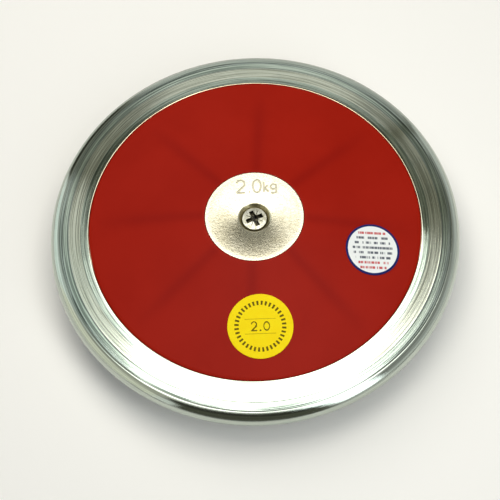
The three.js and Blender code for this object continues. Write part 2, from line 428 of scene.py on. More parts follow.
def dish_height(radius):
    share = np.clip((dish_radius - radius) / (dish_radius - mouth_radius), 0, 1)
    fall = DISH_START_SHARE * share + (1 - DISH_START_SHARE) * share * share
    return HALF - RING_FALL - (DISH_DEPTH - RING_FALL) * fall


# Rim


def marked_line(start, end, pitch, depth, draw):
    """Points on the way from start to end, each moved square to it by a random tool mark."""
    start, end = Vector(start), Vector(end)
    run = end - start
    square = Vector((-run.y, run.x)).normalized()
    steps = max(2, round(run.length / pitch))
    marks = []
    for step in range(1, steps):
        mark = square * depth * draw.uniform(-1, 1)
        marks.append(tuple(start + run * step / steps + mark))
    return marks


def rim_front(draw):
    """The rim's front face, from the end of the round edge to the tongue."""
    line_start = tangent_radius - EDGE_LINE_WIDTH / 2
    ridge_start = COARSE_FROM - RIDGE_WIDTH / 2
    ridge_end = COARSE_FROM + RIDGE_WIDTH / 2
    face = [
        (tangent_radius, face_height(tangent_radius) - EDGE_LINE_DEPTH),
        (line_start, face_height(line_start)),
    ]
    outer = (ridge_end, face_height(ridge_end))
    face += marked_line(face[-1], outer, COARSE_PITCH, COARSE_DEPTH, draw)
    face += [outer, (COARSE_FROM, face_height(COARSE_FROM) + RIDGE_HEIGHT)]
    inner = (ridge_start, face_height(ridge_start))
    land_outer = (land_radius, face_height(land_radius))
    face += [inner] + marked_line(inner, land_outer, FINE_PITCH, FINE_DEPTH, draw)
    land_end = bore_radius + RIM_FILLET
    land_inner = (land_end, land_height(land_end))
    face += [land_outer] + marked_line(land_outer, land_inner, FINE_PITCH, FINE_DEPTH, draw)
    for angle in spread(math.pi / 2, math.pi, FILLET_STEPS):
        across, down = RIM_FILLET * math.cos(angle), RIM_FILLET * (1 - math.sin(angle))
        face.append((land_end + across, land_inner[1] - down))
    face += [(bore_radius, TONGUE_HALF), (bore_radius - TONGUE_REACH, TONGUE_HALF)]
    return face


def make_rim():
    draw = random.Random(RIM_SEED)
    sweep = math.degrees(math.pi / 2 - rim_angle)
    edge = arc((edge_centre, 0), (EDGE_ROUND, EDGE_ROUND), -sweep, sweep, EDGE_STEPS)[1:-1]
    front = rim_front(draw)
    rear = [(radius, -height) for radius, height in reversed(rim_front(draw))]
    return turned("rim_ring", edge + front + rear, RIM_SEGMENTS)


# Side plates


def rib_share(x, y):
    """1 over the middle of a rib, falling to 0 beside it and at its ends."""
    radius = np.hypot(x, y)
    spacing = FULL_TURN / RIB_COUNT
    angle = (np.arctan2(y, x) - RIB_PHASE + spacing / 2) % spacing - spacing / 2
    across = radius * np.sin(angle)
    half_width = SINK_HALF_WIDTH + SINK_SPREAD * (radius - SINK_FROM)
    ends = np.clip((radius - SINK_FROM) / SINK_FADE_IN, 0, 1)
    ends = ends * np.clip((SINK_TO - radius) / SINK_FADE_OUT, 0, 1)
    return np.exp(-((across / half_width) ** 2)) * ends


def sunk(radius, angle, height):
    """Sink marks in the side plate's outer face, where the ribs behind it shrank."""
    on_face = np.abs(height - side_height(radius)) < NEAR
    share = rib_share(radius * np.cos(angle), radius * np.sin(angle))
    return radius, height - SINK_DEPTH * share * on_face


def side_outline():
    hub_radius = pocket_radius + HUB_WALL
    underside = centre_seat - SHELL_WALL
    recess_outside = recess_radius + SHELL_WALL
    skirt_radius = SIDE - SKIRT_WIDTH
    bevel_radius = SIDE - SIDE_EDGE_BEVEL
    bevel_height = side_height(SIDE) - SIDE_EDGE_BEVEL
    half_bevel = SIDE_EDGE_BEVEL * (1 - math.sqrt(0.5))
    rows = spread(bevel_radius, crest_radius, SIDE_ROWS)
    return [
        (SIDE, TONGUE_HALF),
        (SIDE, bevel_height),
        (SIDE - half_bevel, side_height(SIDE) - half_bevel),
        *((radius, side_height(radius)) for radius in rows),
        (recess_radius, HALF),
        (recess_radius, centre_seat),
        (pocket_radius, centre_seat),
        (pocket_radius, pocket_floor),
        (screw_hole, pocket_floor),
        (screw_hole, HUB_FOOT),
        (hub_radius, HUB_FOOT),
        (hub_radius, underside),
        (recess_outside, underside),
        (recess_outside, side_height(recess_outside, SHELL_WALL)),
        (skirt_radius, side_height(skirt_radius, SHELL_WALL)),
        (skirt_radius, TONGUE_HALF),
    ]


def make_rib(angle):
    """One rib behind the face, from the hub to the skirt, as a solid that overlaps both."""
    hub_middle = pocket_radius + HUB_WALL / 2
    skirt_middle = SIDE - SKIRT_WIDTH / 2
    recess_middle = recess_radius + SHELL_WALL / 2
    rib_foot = TONGUE_HALF + RIB_LIFT
    underside = centre_seat - SHELL_WALL / 2
    profile = [
        (hub_middle, rib_foot),
        (skirt_middle, rib_foot),
        (skirt_middle, side_height(skirt_middle, SHELL_WALL / 2)),
        (recess_middle, side_height(recess_middle, SHELL_WALL / 2)),
        (recess_middle, underside),
        (hub_middle, underside),
    ]
    along, across, up = directions(angle)
    sections = []
    for left in (-RIB_THICKNESS / 2, RIB_THICKNESS / 2):
        sections.append([along * out + across * left + up * height for out, height in profile])
    return lofted("rib", sections)


def hexagon_prism(across_flats, low, high):
    corner = across_flats / 2 / math.cos(math.pi / 6)
    angles = [index * FULL_TURN / 6 for index in range(6)]
    ring = [(corner * math.cos(angle), corner * math.sin(angle)) for angle in angles]
    return lofted("hexagon", [[(x, y, height) for x, y in ring] for height in (low, high)])


def mark_sinks(piece):
    """Keeps how deep each point lies over a rib, for the plastic's colour."""
    points = np.array([v.co for v in piece.data.vertices]) / MM
    share = rib_share(points[:, 0], points[:, 1])
    attribute = piece.data.attributes.new("sink", "FLOAT", "POINT")
    attribute.data.foreach_set("value", share.astype(np.float32))


def make_side_plate():
    plate = turned("front_side_cover", side_outline(), SIDE_SEGMENTS, sunk)
    for index in range(RIB_COUNT):
        combine(plate, make_rib(RIB_PHASE + index * FULL_TURN / RIB_COUNT), "UNION")
    nut_flats = 2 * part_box("coupling_nut")[1].y / MM
    socket_top = pocket_floor - HUB_WEB
    socket = hexagon_prism(nut_flats + 2 * NEST_GAP, HUB_FOOT - SOCKET_OVERRUN, socket_top)
    combine(plate, socket, "DIFFERENCE")
    mark_sinks(plate)
    return plate


# Centre plates


def centre_outline():
    sink_foot = sink_height - (sink_radius - screw_hole)
    rows = spread(dish_radius, mouth_radius, DISH_ROWS)
    dish = [(radius, float(dish_height(radius))) for radius in rows]
    sink_top = (sink_radius, sink_height)
    mouth = softened(dish[-2], dish[-1], sink_top, MOUTH_SOFTENING)
    dish = [point for point in dish if point[0] > mouth[0][0] + MOUTH_ROW_GAP]
    ring_middle = CENTRE - CENTRE_RING_WIDTH / 2
    round_in = CENTRE_EDGE_BEVEL * (1 - math.sqrt(0.5))
    return [
        (CENTRE, centre_seat),
        (CENTRE, HALF - CENTRE_EDGE_BEVEL),
        (CENTRE - round_in, HALF - round_in),
        (CENTRE - CENTRE_EDGE_BEVEL, HALF),
        (CENTRE - CENTRE_EDGE_BEVEL - RING_SUPPORT, HALF),
        (ring_middle, HALF - RING_FALL / 2),
        *dish,
        *mouth,
        sink_top,
        (screw_hole, sink_foot),
        (screw_hole, BOSS_FOOT),
        (BOSS_RADIUS, BOSS_FOOT),
        (BOSS_RADIUS, centre_seat),
    ]


def stroke(path, closed):
    """A groove's cutter along a path on the dish: wide over the surface, narrow at its floor."""
    path = [Vector(point) for point in path]
    count = len(path)
    top_half, floor_half = MARK_STROKE / 2, MARK_FLOOR_SHARE * MARK_STROKE / 2
    sections = []
    for index, here in enumerate(path):
        before = path[index - 1] if index or closed else here
        after = path[(index + 1) % count] if index < count - 1 or closed else here
        along = (after - before).normalized()
        left = Vector((-along.y, along.x))
        surface = float(dish_height(here.length))
        top, floor = surface + MARK_OVERRUN, surface - MARK_DEPTH
        corners = (top_half, top), (-top_half, top), (-floor_half, floor), (floor_half, floor)
        sections.append([(*(here + left * aside), height) for aside, height in corners])
    return lofted("stroke", sections, closed)


def weight_mark():
    """The weight, 2.0 kg, as paths on the plate, each with whether it closes on itself."""
    two_middle, bowl = (TWO_LEFT + TWO_RIGHT) / 2, (TWO_RIGHT - TWO_LEFT) / 2
    hook = arc((two_middle, LINE_BASE + DIGIT_HEIGHT - bowl), (bowl, bowl), 165, -35, 12)
    half_digit = DIGIT_HEIGHT / 2
    zero = arc((ZERO_MIDDLE, LINE_BASE + half_digit), (ZERO_HALF, half_digit), 0, 345, 23)
    point_height = LINE_BASE + POINT_LIFT
    k_top = LINE_BASE + K_STEM_SHARE * LETTER_HEIGHT
    k_joint = LINE_BASE + K_JOINT_SHARE * LETTER_HEIGHT
    k_arm_top = LINE_BASE + K_ARM_SHARE * LETTER_HEIGHT
    leg_start = (K_LEFT + K_LEG_START[0], k_joint + K_LEG_START[1])
    g_height = LINE_BASE + G_HEIGHT_SHARE * LETTER_HEIGHT
    g_right = G_MIDDLE + G_RADIUS
    g_foot = LINE_BASE + G_TAIL_LIFT
    g_stem = straight((g_right, g_height + G_STEM_RISE), (g_right, g_foot), 4)
    tail = arc((G_MIDDLE, g_foot), (G_RADIUS, G_TAIL_DROP), 0, -150, 8)
    return [
        (hook + straight(hook[-1], (TWO_LEFT, LINE_BASE), 5)[1:], False),
        (straight((TWO_LEFT, LINE_BASE), (TWO_RIGHT, LINE_BASE)), False),
        (zero, True),
        (straight((POINT_LEFT, point_height), (POINT_LEFT + POINT_WIDTH, point_height), 1), False),
        (straight((K_LEFT, LINE_BASE), (K_LEFT, k_top)), False),
        (straight((K_LEFT, k_joint), (K_LEFT + K_ARM, k_arm_top), 3), False),
        (straight(leg_start, (K_LEFT + K_LEG, LINE_BASE), 3), False),
        (arc((G_MIDDLE, g_height), (G_RADIUS, G_RADIUS), 0, 340, 17), True),
        (g_stem[:-1] + tail, False),
    ]


def further_material(piece, material, chosen):
    """Gives one more material to the faces whose middle's radius and height are chosen."""
    piece.data.materials.append(material)
    last = len(piece.data.materials) - 1
    for face in piece.data.polygons:
        radius = math.hypot(face.center.x, face.center.y) / MM
        height = (face.center.z - MIDDLE) / MM
        if chosen(radius, abs(height)):
            face.material_index = last


def in_mark(radius, height):
    depth = dish_height(radius) - height
    return dish_radius > radius > mouth_radius + MARK_MARGIN and MIN_MARK < depth < MARK_MARGIN


def in_mouth(radius, height):
    return screw_hole < radius < mouth_radius - MOUTH_INSET and height > BOSS_FOOT + MARK_MARGIN


def in_recess(radius, height):
    crown = CROWN_TOP - HEAD_CROWN * (radius / HEAD) ** 2
    floor = CROWN_TOP - RECESS_DEPTH - RECESS_MARGIN
    return radius < RECESS_REACH and floor < height < crown - MIN_MARK


def engrave(plate):
    for path, closed in weight_mark():
        combine(plate, stroke(path, closed), "DIFFERENCE")


# Screws


def threaded(radius, angle, height):
    """A helical thread in the shank's rows."""
    on_shank = np.abs(radius - SCREW_RADIUS) < NEAR
    turn = (height / THREAD_PITCH - angle / FULL_TURN) % 1
    depth = THREAD_DEPTH * (1 - np.abs(2 * turn - 1))
    fade = np.clip((height - thread_start) / THREAD_PITCH, 0, 1)
    fade = fade * np.clip((thread_end - height) / THREAD_PITCH, 0, 1)
    return radius - depth * fade * on_shank, height


def make_screw():
    rows = math.ceil((thread_end - thread_start) / THREAD_PITCH * THREAD_ROWS_PER_TURN)
    shank = [(SCREW_RADIUS, height) for height in spread(thread_start, thread_end, rows)]
    shares = spread(1, 0, CROWN_ROWS)
    crown = [(HEAD * share, CROWN_TOP - HEAD_CROWN * share * share) for share in shares]
    edge = softened((HEAD, cone_top), (HEAD, cone_top + HEAD_EDGE), crown[1], HEAD_SOFTENING)
    outline = [
        (0, SCREW_TIP),
        (SCREW_RADIUS - TIP_BEVEL, SCREW_TIP),
        *shank,
        (HEAD, cone_top),
        *edge,
        *crown[1:],
    ]
    screw = turned("front_screw_fastener", outline, SCREW_SEGMENTS, threaded)
    carve_recess(screw)
    return screw


def carve_recess(screw):
    """Cuts the cross, the square between its wings and four fine ticks into a screw's crown."""
    quarter_turn = math.pi / 2
    over = CROWN_TOP + RECESS_OVERRUN
    floor = CROWN_TOP - RECESS_DEPTH
    reaches = RECESS_SPAN / 2 - RECESS_SPAN_DRAFT, RECESS_SPAN / 2 + RECESS_SPAN_FLARE
    halves = RECESS_WING / 2 - RECESS_WING_DRAFT, RECESS_WING / 2 + RECESS_WING_FLARE
    for index in range(2):
        angle = RECESS_TURN + index * quarter_turn
        wing = tapered_bar("wing", angle, reaches, halves, (floor, over))
        combine(screw, wing, "DIFFERENCE")
        diagonal = angle + quarter_turn / 2
        square = tapered_bar("square", diagonal, SQUARE_HALVES, SQUARE_HALVES, (floor, over))
        combine(screw, square, "DIFFERENCE")
    for index in range(4):
        angle = RECESS_TURN + quarter_turn / 2 + index * quarter_turn
        heights = CROWN_TOP - TICK_DEPTH, over
        tick = tapered_bar("tick", angle, TICK_REACHES, TICK_HALVES, heights, TICK_START)
        combine(screw, tick, "DIFFERENCE")


# Labels


def wrapped(name, radius, centre):
    """A round label that lies on the side plate's cone, with its own x and y in a UV layer."""
    flat_radius = radius - LABEL_SOFTENING
    outline = [(0, LABEL_LIFT), (radius, LABEL_LIFT), (radius, LABEL_TOP - LABEL_SOFTENING)]
    outline += [(row_radius, LABEL_TOP) for row_radius in spread(flat_radius, 0, LABEL_ROWS)]
    points, faces = turned_points(outline, LABEL_SEGMENTS)
    flat = np.array(points)
    place, turn = centre.length, math.atan2(centre.y, centre.x)
    outward = flat[:, 0] * math.cos(turn) + flat[:, 1] * math.sin(turn)
    sideways = flat[:, 1] * math.cos(turn) - flat[:, 0] * math.sin(turn)
    slant = place / math.cos(side_angle) + outward
    radius_on_cone = np.hypot(slant, sideways) * math.cos(side_angle)
    angle = turn + np.arctan2(sideways, slant) / math.cos(side_angle)
    height = side_height(radius_on_cone) + flat[:, 2] / math.cos(side_angle)
    x, y = radius_on_cone * np.cos(angle), radius_on_cone * np.sin(angle)
    label = piece_from(name, np.stack([x, y, height], 1), faces)
    layer = label.data.uv_layers.new(name="print")
    for loop in label.data.loops:
        layer.data[loop.index].uv = flat[loop.vertex_index, :2]
    return label


def node_centre(node):
    """The middle of a CAD node seen from above, in millimetres."""
    low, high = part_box(node)
    return Vector((low.x + high.x, low.y + high.y)) / 2 / MM


# Shader nodes

BLACK = 0, 0, 0
EVEN = 0.3, 0.7


def srgb(red, green, blue):
    """A colour of 0 to 255 as the linear colour that Blender takes."""
    channels = []
    for value in (red, green, blue):
        value = value / 255
        channels.append(value / 12.92 if value <= 0.04045 else ((value + 0.055) / 1.055) ** 2.4)
    return (*channels, 1)


class Shader:
    """Adds nodes to one material's or world's tree. A value is a node's output, a number or a
    colour: red, green and blue of 0 to 255, or four linear channels."""

    def __init__(self, owner):
        owner.use_nodes = True
        self.tree = owner.node_tree
        self.tree.nodes.clear()

    def add(self, kind, settings=None, **inputs):
        node = self.tree.nodes.new(kind)
        for name, value in (settings or {}).items():
            setattr(node, name, value)
        for name, value in inputs.items():
            self.plug(node.inputs[name.replace("_", " ")], value)
        return node

    def plug(self, socket, value):
        if isinstance(value, bpy.types.NodeSocket):
            self.tree.links.new(value, socket)
        else:
            socket.default_value = srgb(*value) if np.size(value) == 3 else value

    def calculate(self, operation, *values):
        """One operation on one value or two."""
        node = self.add("ShaderNodeMath", {"operation": operation})
        for socket, value in zip(node.inputs, values):
            self.plug(socket, value)
        return node.outputs[0]

    def gather(self, operation, first, *others):
        """One operation on several values in turn, from the first to the last."""
        for value in others:
            first = self.calculate(operation, first, value)
        return first

    def times(self, *values):
        return self.gather("MULTIPLY", *values)

    def plus(self, *values):
        return self.gather("ADD", *values)

    def minus(self, first, second):
        return self.calculate("SUBTRACT", first, second)

    def over(self, first, second):
        return self.calculate("DIVIDE", first, second)

    def most(self, *values):
        return self.gather("MAXIMUM", *values)

    def size(self, value):
        return self.calculate("ABSOLUTE", value)

    def length(self, x, y):
        """How far (x, y) lies from (0, 0)."""
        return self.calculate("SQRT", self.plus(self.times(x, x), self.times(y, y)))

    def ramp(self, value, low, high, start=0, end=1):
        """Start below low, end above high, and a smooth rise or fall between them."""
        settings = {"interpolation_type": "SMOOTHSTEP"}
        inputs = {"Value": value, "From_Min": low, "From_Max": high, "To_Min": start, "To_Max": end}
        return self.add("ShaderNodeMapRange", settings, **inputs).outputs[0]

    def band(self, value, low, high, edge):
        """1 between low and high, 0 outside, with soft edges."""
        rise = self.ramp(value, low - edge, low + edge)
        fall = self.ramp(value, high - edge, high + edge, 1, 0)
        return self.times(rise, fall)

    def mix(self, factor, first, second):
        """One colour changed into another by a factor."""
        node = self.add("ShaderNodeMix", {"data_type": "RGBA"})
        self.plug(node.inputs["Factor"], factor)
        colours = [socket for socket in node.inputs if socket.type == "RGBA"]
        self.plug(colours[0], first)
        self.plug(colours[1], second)
        return next(socket for socket in node.outputs if socket.type == "RGBA")

    def blend(self, factor, first, second):
        """One number changed into another by a factor."""
        return self.plus(self.times(self.minus(1, factor), first), self.times(factor, second))

    def vary(self, level, noise, amount):
        """A level that rises with a noise, by the amount where the noise is 1."""
        return self.plus(level, self.times(noise, amount))

    def noise(self, vector, scale, detail=2, roughness=0.5):
        inputs = {"Vector": vector, "Scale": scale, "Detail": detail, "Roughness": roughness}
        return self.add("ShaderNodeTexNoise", **inputs).outputs["Fac"]

    def bump(self, height, depth, strength=1, normal=None):
        """Relief from a height of 0 to 1, with its depth in millimetres."""
        node = self.add("ShaderNodeBump", Height=height, Distance=depth * MM, Strength=strength)
        if normal:
            self.plug(node.inputs["Normal"], normal)
        return node.outputs[0]

    def point(self):
        """The place of the shaded point in the row frame, in metres."""
        return self.add("ShaderNodeTexCoord").outputs["Object"]

    def parts(self, vector):
        """A vector's x, y and z."""
        return self.add("ShaderNodeSeparateXYZ", Vector=vector).outputs

    def either(self, factor, first, second):
        """One shader changed into another by a factor."""
        node = self.add("ShaderNodeMixShader")
        for socket, value in zip(node.inputs, (factor, first, second)):
            self.plug(socket, value)
        return node.outputs[0]

    def close(self, kind, shader):
        """Ends the tree in an output node."""
        self.plug(self.add(kind).inputs["Surface"], shader)

    def finish(self, **inputs):
        """Ends a material in one principled shader."""
        shader = self.add("ShaderNodeBsdfPrincipled", **inputs)
        self.close("ShaderNodeOutputMaterial", shader.outputs[0])


def new_material(name):
    material = bpy.data.materials.new(name)
    return material, Shader(material)


def grained_metal(name, noise, spread, colours, roughness, metallic, relief):
    """A metal whose colour, roughness and relief all follow one fine noise."""
    material, s = new_material(name)
    grain = s.noise(s.point(), *noise)
    base = s.mix(s.ramp(grain, *spread), *colours)
    rough = s.vary(roughness[0], grain, roughness[1])
    s.finish(Base_Color=base, Metallic=metallic, Roughness=rough, Normal=s.bump(grain, *relief))
    return material


# Rim's zinc

# How much the height on the slope counts beside the radius, across the tool marks
HEIGHT_SHARE = -1.3

# Rings of colour: where each starts and ends, outside a line of the section, and its softness.
# The rings at the bore and on the ridge are painted highlights; the ring just outside the ridge,
# the band along the round edge and the line in its groove are painted shade.
BORE_HIGHLIGHT_RING = -0.1, 0.32, 0.05
RIDGE_HIGHLIGHT_RING = -0.18, 0.1, 0.08
RIDGE_SHADE_RING = 0.22, 0.6, 0.1
EDGE_SHADE_RING = -1.93, -0.23, 0.5
GROOVE_SHADE_RING = -0.33, -0.03, 0.15
ROUND_START, ROUND_END = -0.13, 0.27
MIDDLE_START, MIDDLE_SOFTNESS = 0.3, 0.2


def lathe_lines(s, across, around):
    """A noise vector that runs quickly across the tool marks and slowly round them."""
    x, y, z = s.parts(s.point())
    radius = s.length(x, y)
    slope = s.plus(radius, s.times(z, HEIGHT_SHARE))
    parts = {
        "X": s.times(slope, across),
        "Y": s.times(s.over(x, radius), around),
        "Z": s.times(s.over(y, radius), around),
    }
    return s.add("ShaderNodeCombineXYZ", **parts).outputs[0], radius


def zinc_material():
    """Turned steel under clear zinc: fine rings of tool marks, warmer in the middle of the face
    than on the land beside the plate and near the round edge, and darker at the face's ends; at the
    outer end this is painted shade along the round edge and in its groove. A bright ring on the
    ridge and one on the fillet by the plate are painted highlights, and the ring just outside the
    ridge is painted shade."""
    material, s = new_material("zinc_plate")
    lines, radius = lathe_lines(s, across=1900, around=1.8)
    bands, _ = lathe_lines(s, across=430, around=1)
    hairs, _ = lathe_lines(s, across=3000, around=5)
    fine = s.noise(lines, 1, roughness=0.6)
    broad = s.noise(bands, 1)
    hair = s.noise(hairs, 1, roughness=0.6)
    mottle = s.noise(s.point(), 70, 3, 0.6)
    radius = s.over(radius, MM)
    marks = s.ramp(s.plus(s.times(fine, 0.84), s.times(broad, 0.16)), 0.45, 0.53)

    def ring(line, start, end, softness):
        return s.band(radius, line + start, line + end, softness)

    middle = s.band(radius, land_radius + MIDDLE_START, COARSE_FROM, MIDDLE_SOFTNESS)
    on_round = s.ramp(radius, tangent_radius + ROUND_START, tangent_radius + ROUND_END)
    warm = s.mix(marks, (172, 176, 158), (230, 234, 216))
    base = s.mix(middle, s.mix(marks, (144, 157, 145), (214, 227, 212)), warm)
    # painted shade: a darker band along the round edge
    base = s.mix(ring(tangent_radius, *EDGE_SHADE_RING), base, s.mix(marks, (84, 94, 86), (194, 206, 197)))
    # painted shade in the groove beside the round edge
    base = s.mix(ring(tangent_radius, *GROOVE_SHADE_RING), base, (112, 119, 108))
    base = s.mix(on_round, base, s.mix(marks, (172, 180, 170), (194, 202, 192)))
    # painted highlight on the ridge
    base = s.mix(ring(COARSE_FROM, *RIDGE_HIGHLIGHT_RING), base, (228, 232, 220))
    # painted shade just outside the ridge
    base = s.mix(ring(COARSE_FROM, *RIDGE_SHADE_RING), base, (112, 121, 112))
    # painted highlight on the fillet beside the plate
    base = s.mix(ring(bore_radius, *BORE_HIGHLIGHT_RING), base, (240, 216, 182))
    base = s.mix(s.ramp(mottle, 0.5, 0.8, 0, 0.3), base, (166, 178, 172))
    base = s.mix(s.ramp(hair, 0.62, 0.74, 0, 0.5), base, (236, 241, 232))
    rough = s.vary(s.vary(0.07, hair, 0.04), middle, 0.015)
    tangent = s.add("ShaderNodeTangent", {"direction_type": "RADIAL", "axis": "Z"}).outputs[0]
    normal = s.bump(hair, 0.02, 0.5, s.bump(fine, 0.05, 0.7))
    s.finish(Base_Color=base, Metallic=1, Roughness=rough, Anisotropic=0.9,
             Anisotropic_Rotation=0.25, Tangent=tangent, Normal=normal)
    return material


# The other materials


def red_material():
    """Moulded plastic with a faint cloud of colour, darker where it sank over the ribs."""
    material, s = new_material("red_plastic")
    place = s.point()
    sink = s.add("ShaderNodeAttribute", {"attribute_name": "sink"}).outputs["Fac"]
    cloud = s.noise(place, 28, 3, 0.55)
    grain = s.noise(place, 2400)
    base = s.mix(s.ramp(cloud, *EVEN), (153, 24, 8), (159, 27, 11))
    base = s.mix(s.times(sink, 0.38), base, (124, 11, 6))
    rough = s.vary(0.44, s.ramp(grain, *EVEN), 0.06)
    s.finish(Base_Color=base, Roughness=rough, Specular_IOR_Level=0.07,
             Normal=s.bump(grain, 0.01, 0.25))
    return material


def nickel_material():
    """Cast metal under a satin plating, with a fine grain and a brighter ring at its edge."""
    material, s = new_material("nickel_plate")
    place = s.point()
    x, y, _ = s.parts(place)
    radius = s.over(s.length(x, y), MM)
    ring = s.ramp(radius, dish_radius + SHINE_START, dish_radius + SHINE_END)
    grain = s.noise(place, 1000, 3, 0.7)
    spots = s.noise(place, 560, 3, 0.65)
    cloud = s.noise(place, 90, 3, 0.55)
    base = s.mix(s.ramp(cloud, *EVEN), (206, 201, 180), (194, 188, 164))
    base = s.mix(s.ramp(grain, 0.44, 0.66, 0, 0.34), base, (136, 128, 98))
    base = s.mix(s.ramp(spots, 0.55, 0.72, 0, 0.28), base, (138, 130, 102))
    base = s.mix(s.times(ring, 0.6), base, (218, 213, 192))
    normal = s.bump(spots, 0.08, 0.4, s.bump(grain, 0.09, 0.6))
    s.finish(Base_Color=base, Metallic=1, Roughness=s.vary(0.16, grain, 0.12), Normal=normal)
    return material


def mark_material():
    """The duller floor and sides of the engraved weight."""
    colours = (196, 192, 172), (174, 168, 144)
    return grained_metal("nickel_mark", (1300, 3, 0.7), EVEN, colours, (0.45, 0.1), 0.7, (0.03, 0.5))


def mouth_shade_material():
    """The machined countersink, darker than the plate round it with painted shade."""
    noise, spread, colours = (1100, 3, 0.7), (0.35, 0.65), ((170, 161, 126), (132, 123, 92))
    return grained_metal("nickel_mouth_shade", noise, spread, colours, (0.34, 0.1), 1, (0.05, 0.5))


def recess_residue_and_shade_material():
    """The dark, unpolished inside of a screw's recess: plating residue, and painted shade."""
    noise, spread, colours = (760, 3, 0.6), (0.4, 0.66), ((18, 17, 11), (118, 111, 84))
    return grained_metal("recess_residue_and_shade", noise, spread, colours, (0.45, 0.15), 0.6, (0.08, 0.6))


def screw_material():
    """Zinc on a small screw, with stains and a fine dark grain."""
    material, s = new_material("screw_zinc")
    place = s.point()
    grain = s.noise(place, 1500, 2, 0.6)
    stain = s.noise(place, 500, 3, 0.6)
    base = s.mix(s.ramp(stain, 0.4, 0.66), (208, 207, 194), (165, 162, 142))
    base = s.mix(s.ramp(grain, 0.5, 0.7, 0, 0.5), base, (112, 109, 92))
    rough = s.vary(0.34, s.ramp(grain, *EVEN), 0.12)
    s.finish(Base_Color=base, Metallic=1, Roughness=rough, Normal=s.bump(grain, 0.05, 0.5))
    return material


def steel_material():
    """Plain turned steel, for the nut and the washers inside."""
    material, s = new_material("plain_steel")
    lines, _ = lathe_lines(s, across=3000, around=6)
    fine = s.noise(lines, 1)
    base = s.mix(s.ramp(fine, *EVEN), (150, 150, 148), (186, 186, 182))
    rough = s.vary(0.3, fine, 0.15)
    s.finish(Base_Color=base, Metallic=1, Roughness=rough, Normal=s.bump(fine, 0.02, 0.4))
    return material


# Print on the labels, in millimetres from a label's or a figure's middle

INK_SOFTNESS = 0.08
FIGURE_HALF = 2.6
FIGURE_PLACE = 3.3
TWO_HALF_WIDTH = 1.6
BOWL_MIDDLE = 1.1
BOWL_RING = 1, 1.6
BOWL_OPENING = 1, 1.2
BOWL_SIDE = 0.3, 0.5
BOWL_SIDE_FOOT = 0, 0.2
SLANT_SHARE, SLANT_ASIDE = 0.71, 0.75
SLANT_HALF = 0.3, 0.42
SLANT_SPAN = -2, 0.25, 0.1
FOOT_TOP = -1.95
ZERO_HALF_WIDTH = 1.75
ZERO_STROKE_SHARES = 0.7, 0.98, 0.04
POINT_SPAN = -0.45, 0.4
POINT_TOP = -1.8
TICK_COUNT = 36
TICK_SHARES = 0.24, 0.72, 0.05
TICK_RING = 11.3, 13.6
RULE = 3.8, 4.1, 0.06
RULE_END = 8, 8.2
RULE_INK_SHARE = 0.6
BORDER = 13.3, 13.5
ROWS_TOP, ROW_HEIGHT, ROW_COUNT, ROW_SOFTNESS = 10.8, 2.82, 8, 0.02
LINE_SHARES = 0.26, 0.74, 0.06
LONGEST_ROW, LONGEST_REACH, REACH_LOSS = 3.4, 11.4, 1.15
REACH_SOFTNESS = 0.3


def label_place(s):
    """The label's own x and y in millimetres, its radius and its angle as a share of a turn."""
    x, y, _ = s.parts(s.add("ShaderNodeUVMap", {"uv_map": "print"}).outputs[0])
    turn = s.plus(s.over(s.calculate("ARCTAN2", y, x), FULL_TURN), 1)
    return x, y, s.length(x, y), turn


def vinyl(s, base):
    grain = s.noise(s.point(), 1500)
    rough = s.vary(0.36, grain, 0.12)
    s.finish(Base_Color=base, Roughness=rough, Specular_IOR_Level=0.06,
             Normal=s.bump(grain, 0.01, 0.2))


def ink_two(s, x, y):
    """A plain figure 2 round (0, 0): an open bowl, a slanting stroke and a foot."""
    from_bowl = s.length(x, s.minus(y, BOWL_MIDDLE))
    side = s.times(s.ramp(x, *BOWL_SIDE), s.ramp(y, *BOWL_SIDE_FOOT))
    open_part = s.most(s.ramp(y, *BOWL_OPENING), side)
    bowl = s.times(s.band(from_bowl, *BOWL_RING, INK_SOFTNESS), open_part)
    from_slant = s.size(s.minus(s.times(s.minus(x, y), SLANT_SHARE), SLANT_ASIDE))
    slant = s.times(s.ramp(from_slant, *SLANT_HALF, 1, 0), s.band(y, *SLANT_SPAN))
    foot = s.times(
        s.band(y, -FIGURE_HALF, FOOT_TOP, INK_SOFTNESS),
        s.band(x, -TWO_HALF_WIDTH, TWO_HALF_WIDTH, INK_SOFTNESS),
    )
    return s.most(bowl, slant, foot)


def ink_zero(s, x, y):
    """A plain figure 0 round (0, 0)."""
    out = s.length(s.over(x, ZERO_HALF_WIDTH), s.over(y, FIGURE_HALF))
    return s.band(out, *ZERO_STROKE_SHARES)


def yellow_material():
    """Yellow vinyl with a graduated ring, and the weight between two thin rules."""
    material, s = new_material("yellow_vinyl")
    x, y, radius, turn = label_place(s)
    cloud = s.noise(s.point(), 160)
    base = s.mix(s.ramp(cloud, *EVEN), (254, 223, 8), (255, 229, 14))
    tick = s.calculate("FRACT", s.times(turn, TICK_COUNT))
    ticks = s.times(s.band(tick, *TICK_SHARES), s.band(radius, *TICK_RING, INK_SOFTNESS))
    rules = s.times(s.band(s.size(y), *RULE), s.ramp(s.size(x), *RULE_END, RULE_INK_SHARE, 0))
    two = ink_two(s, s.plus(x, FIGURE_PLACE), y)
    zero = ink_zero(s, s.minus(x, FIGURE_PLACE), y)
    point_height = s.band(y, -FIGURE_HALF, POINT_TOP, INK_SOFTNESS)
    point = s.times(s.band(x, *POINT_SPAN, INK_SOFTNESS), point_height)
    ink = s.most(ticks, rules, two, zero, point)
    vinyl(s, s.mix(s.times(ink, 0.95), base, (84, 70, 4)))
    return material


def row_noise(s, x, number, along, between):
    """A noise that runs along a row of dashes and starts afresh in the next row."""
    seed = s.add("ShaderNodeCombineXYZ", X=s.times(x, along), Y=s.times(number, between))
    return s.noise(seed.outputs[0], 1, 1)


